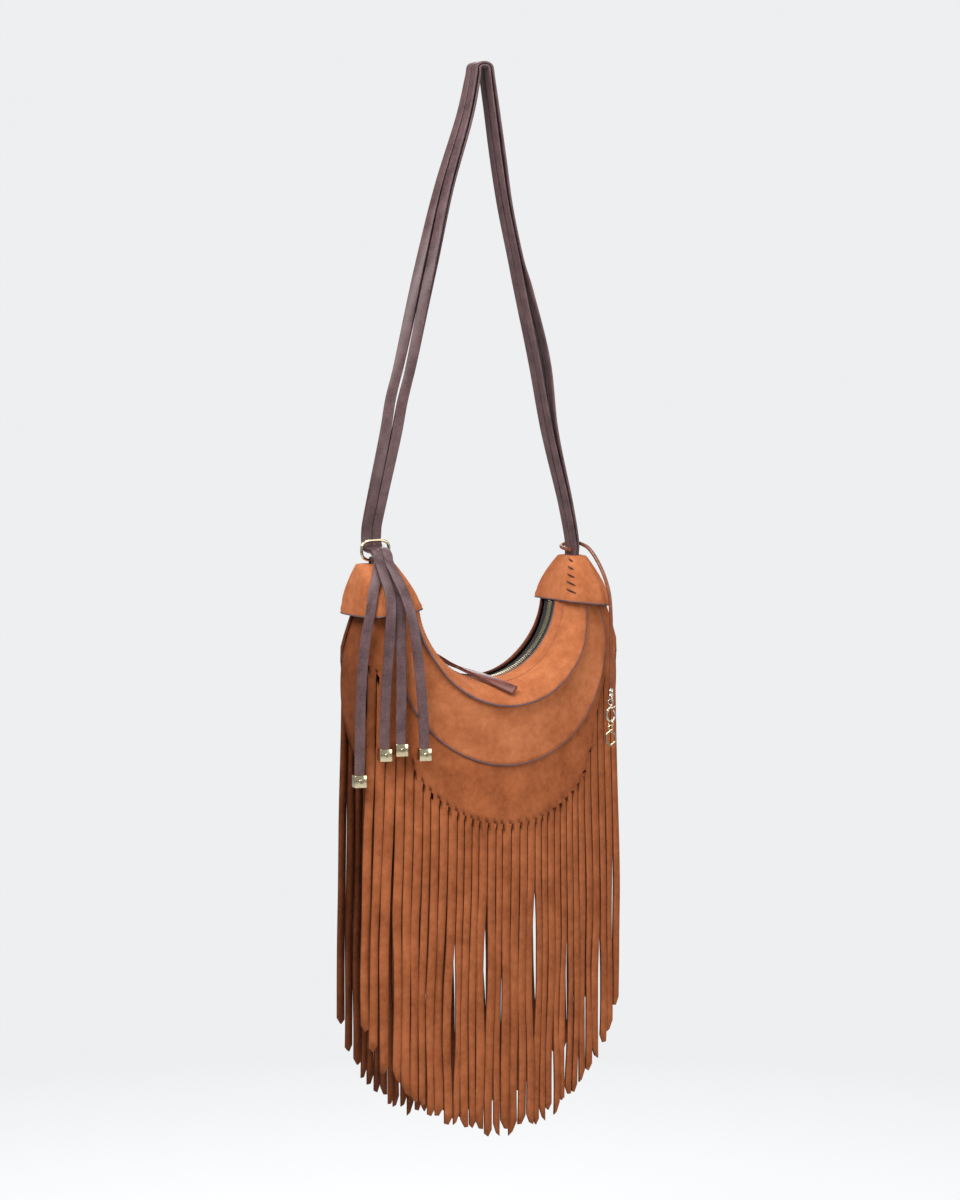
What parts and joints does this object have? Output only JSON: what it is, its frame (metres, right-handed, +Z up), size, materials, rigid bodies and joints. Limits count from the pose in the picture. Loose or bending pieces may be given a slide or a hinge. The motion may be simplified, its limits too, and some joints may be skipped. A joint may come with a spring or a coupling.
{
  "type": "fringed suede shoulder bag",
  "caption": "Hanging suede shoulder bag with a curved zip opening, lapped front tiers, a slit fringe on both faces, a lace strap with cube tips and a small charm.",
  "frame": {"origin": "under the top of the strap, where a peg or a shoulder bears on the laces", "axes": "+Z up along the hanging bag, -Y out of its front, +X to the side with the charm"},
  "size_m": [0.3121, 0.116, 1.0675],
  "materials": {
    "tan_suede": "matt suede nap",
    "shade_suede": "matt suede nap",
    "lining_cloth": "plain woven cloth",
    "zip_tape": "woven tape",
    "pale_gold": "polished pale gold plate",
    "puller_leather": "glossy smooth leather"
  },
  "bodies": {
    "bag": {"back_fringe_panel": "shade_suede", "charm_cord": "shade_suede", "cord_end_cap": "pale_gold", "cube_screw_1": "pale_gold", "cube_screw_2": "pale_gold", "cube_screw_3": "pale_gold", "cube_screw_4": "pale_gold", "front_fringe_panel": "tan_suede", "front_middle_panel": "tan_suede", "front_upper_panel": "tan_suede", "gusset": "shade_suede", "lace_cube_1": "pale_gold", "lace_cube_2": "pale_gold", "lace_cube_3": "pale_gold", "lace_cube_4": "pale_gold", "left_collar": "tan_suede", "lining": "lining_cloth", "right_collar": "tan_suede", "ring_tab": "tan_suede", "strap_lace_1": "tan_suede", "strap_lace_2": "tan_suede", "strap_lace_3": "tan_suede", "strap_lace_4": "tan_suede", "zip_stop_left": "pale_gold", "zip_stop_right": "pale_gold", "zip_tape_back": "zip_tape", "zip_tape_front": "zip_tape", "zip_teeth_back": "pale_gold", "zip_teeth_front": "pale_gold"},
    "slider": {"zip_slider": "pale_gold"},
    "pull": {"zip_pull": "pale_gold", "leather_puller": "puller_leather"},
    "ring": {"strap_ring": "pale_gold"},
    "clasp": {"clasp_body": "pale_gold"},
    "lever": {"clasp_lever": "pale_gold"},
    "jump": {"jump_ring": "pale_gold"},
    "charm": {"charm": "pale_gold"}
  },
  "joints": [
    {"name": "zip_slide", "type": "hinge", "parent": "bag", "child": "slider", "pos_m": [0, 0, -0.524], "axis": [0, -1, 0], "range_deg": [-24, 140]},
    {"name": "zip_pull", "type": "hinge", "parent": "slider", "child": "pull", "pos_m": [-0.06572, 0, -0.56507], "axis": [0, -1, 0], "range_deg": [0, 85]},
    {"name": "ring_swing", "type": "hinge", "parent": "bag", "child": "ring", "pos_m": [-0.119, 0, -0.4833], "axis": [1, 0, 0], "range_deg": [-3, 3]},
    {"name": "clasp_swing", "type": "hinge", "parent": "bag", "child": "clasp", "pos_m": [0.1268, -0.044, -0.6334], "axis": [0, 1, 0], "range_deg": [-25, 25]},
    {"name": "clasp_lever", "type": "hinge", "parent": "clasp", "child": "lever", "pos_m": [0.1306, -0.044, -0.6389], "axis": [0, -1, 0], "range_deg": [0, 25], "stiffness_Nm_per_rad": 0.02, "springref_deg": -17.19},
    {"name": "jump_ring_swing", "type": "hinge", "parent": "clasp", "child": "jump", "pos_m": [0.1268, -0.044, -0.65475], "axis": [1, 0, 0], "range_deg": [-60, 5]},
    {"name": "charm_swing", "type": "hinge", "parent": "jump", "child": "charm", "pos_m": [0.1268, -0.044, -0.65955], "axis": [0, 1, 0], "range_deg": [-25, 25]}
  ]
}
